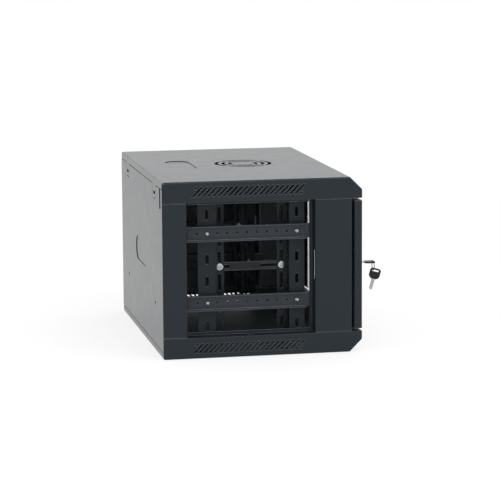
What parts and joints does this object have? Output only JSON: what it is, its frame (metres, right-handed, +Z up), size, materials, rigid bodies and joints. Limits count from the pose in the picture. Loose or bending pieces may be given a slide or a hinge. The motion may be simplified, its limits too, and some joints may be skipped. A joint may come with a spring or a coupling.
{
  "type": "wall-mount rack cabinet",
  "caption": "Black wall-mount rack cabinet: folded steel covers with sloping nose, glass door with cam lock and keys, slotted rack posts on depth rails, left side open.",
  "frame": {"origin": "middle of the cabinet's underside", "axes": "+Z up, +Y to the rear wall, +X to the right side seen from the front"},
  "size_m": [0.5526, 0.4407, 0.35],
  "materials": {
    "black_coat": "satin black powder coat on folded steel sheet",
    "black_zinc": "black zinc plate",
    "zinc_plate": "bright zinc plate",
    "nickel_plate": "nickel plate, lightly worn",
    "key_plastic": "satin black moulded plastic",
    "clear_glass": "clear tempered glass",
    "glazing_tape": "black foam bonding tape",
    "nylon": "black nylon"
  },
  "bodies": {
    "cabinet": {"top_cover": "black_coat", "bottom_cover": "black_coat", "rear_panel": "black_coat", "rear_upright_left": "black_coat", "rear_upright_right": "black_coat", "front_upright_left": "black_coat", "front_upright_right": "black_coat", "front_post_left": "black_coat", "front_post_right": "black_coat", "rear_post_left": "black_coat", "rear_post_right": "black_coat", "upper_rail_left": "black_coat", "upper_rail_right": "black_coat", "lower_rail_left": "black_coat", "lower_rail_right": "black_coat", "brace_left": "black_coat", "brace_right": "black_coat", "top_cable_cover": "black_coat", "bottom_cable_cover": "black_coat", "rear_cable_cover": "black_coat", "frame_screws": "black_zinc", "rail_end_screws": "black_zinc", "rail_nuts": "black_zinc", "rail_screws": "zinc_plate", "brace_bolts": "zinc_plate", "brace_nuts": "zinc_plate"},
    "door": {"door_stile_left": "black_coat", "door_stile_right": "black_coat", "glass_pane": "clear_glass", "glazing_tape_left": "glazing_tape", "glazing_tape_right": "glazing_tape", "hinge_pins": "zinc_plate", "hinge_washers": "nylon", "lock_housing": "nickel_plate", "lock_nut": "black_zinc"},
    "door_lock": {"lock_core": "nickel_plate", "lock_cam": "zinc_plate", "cam_screw": "zinc_plate", "key_blade": "nickel_plate", "key_bow": "key_plastic"},
    "ring": {"key_ring": "zinc_plate"},
    "spare_key": {"spare_key_blade": "nickel_plate", "spare_key_bow": "key_plastic"},
    "right_panel": {"side_panel": "black_coat", "panel_lock_housing": "nickel_plate", "panel_lock_nut": "black_zinc"},
    "panel_lock": {"panel_lock_core": "nickel_plate", "panel_lock_cam": "zinc_plate", "panel_cam_screw": "zinc_plate"}
  },
  "joints": [
    {"name": "door_hinge", "type": "hinge", "parent": "cabinet", "child": "door", "pos_m": [0.2685, -0.192, 0.175], "axis": [0, 0, 1], "range_deg": [0, 170]},
    {"name": "door_lock_turn", "type": "hinge", "parent": "door", "child": "door_lock", "pos_m": [-0.252, -0.2, 0.176], "axis": [0, -1, 0], "range_deg": [0, 90]},
    {"name": "ring_swing", "type": "hinge", "parent": "door_lock", "child": "ring", "pos_m": [-0.261, -0.225, 0.176], "axis": [0, 1, 0], "range_deg": [-20, 20]},
    {"name": "spare_key_swing", "type": "hinge", "parent": "ring", "child": "spare_key", "pos_m": [-0.261, -0.225, 0.161], "axis": [1, 0, 0], "range_deg": [-20, 20]},
    {"name": "right_panel_swing", "type": "hinge", "parent": "cabinet", "child": "right_panel", "pos_m": [0.275, 0.1505, 0.175], "axis": [0, 0, 1], "range_deg": [0, 60]},
    {"name": "panel_lock_turn", "type": "hinge", "parent": "right_panel", "child": "panel_lock", "pos_m": [0.275, -0.089, 0.178], "axis": [1, 0, 0], "range_deg": [0, 90]}
  ]
}
